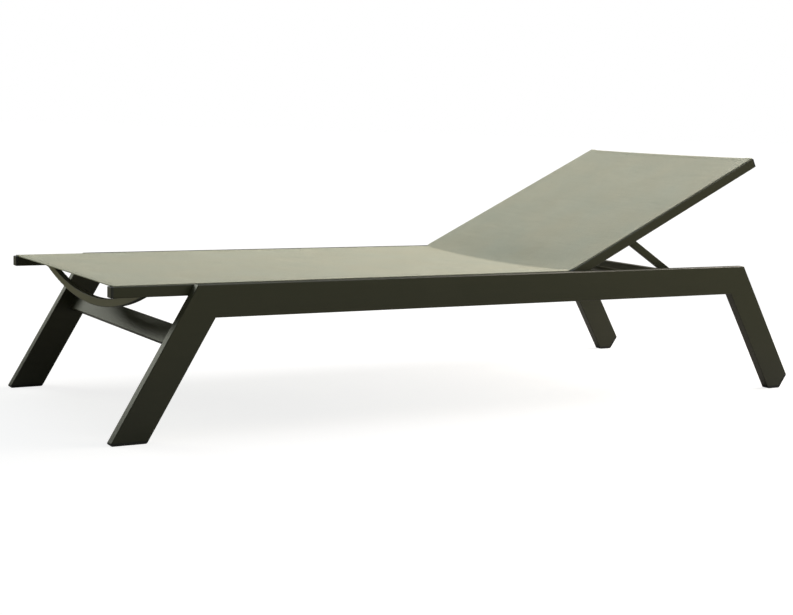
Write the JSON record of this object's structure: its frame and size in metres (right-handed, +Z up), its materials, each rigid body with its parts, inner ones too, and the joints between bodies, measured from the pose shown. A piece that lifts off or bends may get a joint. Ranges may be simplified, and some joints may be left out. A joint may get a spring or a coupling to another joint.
{
  "type": "sun lounger",
  "caption": "Low sun lounger with flat tube side frames, splayed legs, a taut mesh sling and a backrest that is propped in side racks.",
  "frame": {"origin": "middle of the whole length and width, on the ground under the feet", "axes": "+X from the foot end to the head end, +Y to the lying person's right, +Z up"},
  "size_m": [1.9955, 0.79, 0.643],
  "materials": {
    "frame_coat": "matte",
    "sling_mesh": "matte",
    "keder_cord": "matte",
    "glide_plastic": "matte",
    "cap_plastic": "matte",
    "pad_rubber": "matte",
    "hardware": "satin"
  },
  "bodies": {
    "frame": {"side_beam_left": "frame_coat", "front_leg_left": "frame_coat", "rear_leg_left": "frame_coat", "front_glide_left": "glide_plastic", "rear_glide_left": "glide_plastic", "seat_rail_left": "frame_coat", "seat_rail_foot_cap_left": "cap_plastic", "seat_rail_rear_cap_left": "cap_plastic", "rest_pad_left": "pad_rubber", "rack_left": "cap_plastic", "side_beam_right": "frame_coat", "front_leg_right": "frame_coat", "rear_leg_right": "frame_coat", "front_glide_right": "glide_plastic", "rear_glide_right": "glide_plastic", "seat_rail_right": "frame_coat", "seat_rail_foot_cap_right": "cap_plastic", "seat_rail_rear_cap_right": "cap_plastic", "rest_pad_right": "pad_rubber", "rack_right": "cap_plastic", "front_cross_bar": "frame_coat", "rear_cross_bar": "frame_coat", "front_bow": "frame_coat", "middle_bow": "frame_coat", "hinge_bow": "frame_coat", "rail_bolts": "hardware", "rail_rivet_nuts": "hardware", "rack_screws": "hardware", "pivot_bolts": "hardware", "pivot_washers": "hardware", "pivot_nuts": "hardware", "seat_sling": "sling_mesh", "seat_keder_rods": "keder_cord"},
    "backrest": {"back_rail_left": "frame_coat", "back_rail_top_cap_left": "cap_plastic", "hinge_knuckle_left": "cap_plastic", "back_rail_right": "frame_coat", "back_rail_top_cap_right": "cap_plastic", "hinge_knuckle_right": "cap_plastic", "back_lower_bow": "frame_coat", "back_top_bow": "frame_coat", "back_sling": "sling_mesh", "back_keder_rods": "keder_cord", "prop_pivot_bolts": "hardware", "prop_washers": "hardware", "prop_rivet_nuts": "hardware"},
    "prop": {"prop_strut_left": "frame_coat", "prop_strut_right": "frame_coat", "prop_bar": "frame_coat", "prop_bar_cap_left": "cap_plastic", "prop_bar_cap_right": "cap_plastic"}
  },
  "joints": [
    {"name": "backrest_hinge", "type": "hinge", "parent": "frame", "child": "backrest", "pos_m": [0.25324, 0, 0.3343], "axis": [0, -1, 0], "range_deg": [-26, 34]},
    {"name": "prop_hinge", "type": "hinge", "parent": "backrest", "child": "prop", "pos_m": [0.4496, 0, 0.42673], "axis": [0, 1, 0], "range_deg": [-52.6, 68.7]}
  ],
  "couplings": [
    {"joint": "prop_hinge", "follows": "backrest_hinge", "ratio": 2.0123}
  ]
}
